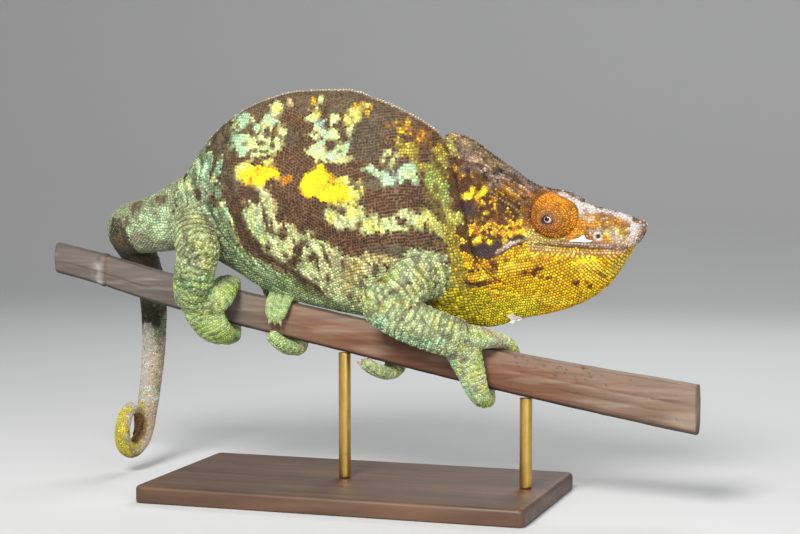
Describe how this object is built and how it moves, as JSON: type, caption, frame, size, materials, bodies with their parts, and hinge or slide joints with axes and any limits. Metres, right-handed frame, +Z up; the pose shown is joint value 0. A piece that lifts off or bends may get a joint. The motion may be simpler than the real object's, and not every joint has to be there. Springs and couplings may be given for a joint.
{
  "type": "parsons chameleon",
  "caption": "Life-size green, brown and yellow Parson's chameleon gripping a cut length of dry cane, held over a flat display base by two short rods.",
  "frame": {"origin": "middle of the display base's underside, on the floor", "axes": "+X along the cane towards the animal's head, +Y to the animal's left, +Z up"},
  "size_m": [0.381, 0.118, 0.2299],
  "materials": {
    "skin_body": "dry granular scales, chocolate brown with pale green and yellow patches",
    "skin_head": "dry granular scales, mustard yellow throat, brown and yellow cheek, rust casque",
    "skin_leg": "dry granular scales, green and yellow",
    "skin_tail": "dry fine scales, grey green above and chalky white below",
    "eye_turret": "fine ringed granules, rust orange",
    "eyeball": "wet gloss",
    "claw": "horny, slightly translucent",
    "cane": "dry split cane with long grain, unvarnished",
    "stand_board": "dark stained board, satin",
    "stand_rod": "satin brass"
  },
  "bodies": {
    "root": {"head": "skin_head", "neck": "skin_body", "trunk": "skin_body", "tail_base": "skin_tail", "tail_bend": "skin_tail", "tail_hanging": "skin_tail", "tail_coil_outer": "skin_tail", "tail_coil_tip": "skin_tail", "eye_right": "eye_turret", "eye_left": "eye_turret", "foreleg_right_upper": "skin_leg", "foreleg_right_lower": "skin_leg", "forefoot_right_upper": "skin_leg", "forefoot_right_lower": "skin_leg", "foreleg_left_upper": "skin_leg", "foreleg_left_lower": "skin_leg", "forefoot_left_upper": "skin_leg", "forefoot_left_lower": "skin_leg", "hindleg_right_upper": "skin_leg", "hindleg_right_lower": "skin_leg", "hindfoot_right_upper": "skin_leg", "hindfoot_right_lower": "skin_leg", "hindleg_left_upper": "skin_leg", "hindleg_left_lower": "skin_leg", "hindfoot_left_upper": "skin_leg", "hindfoot_left_lower": "skin_leg", "perch_cane": "cane", "stand_base": "stand_board", "stand_rod_1": "stand_rod", "stand_rod_2": "stand_rod"}
  },
  "joints": []
}
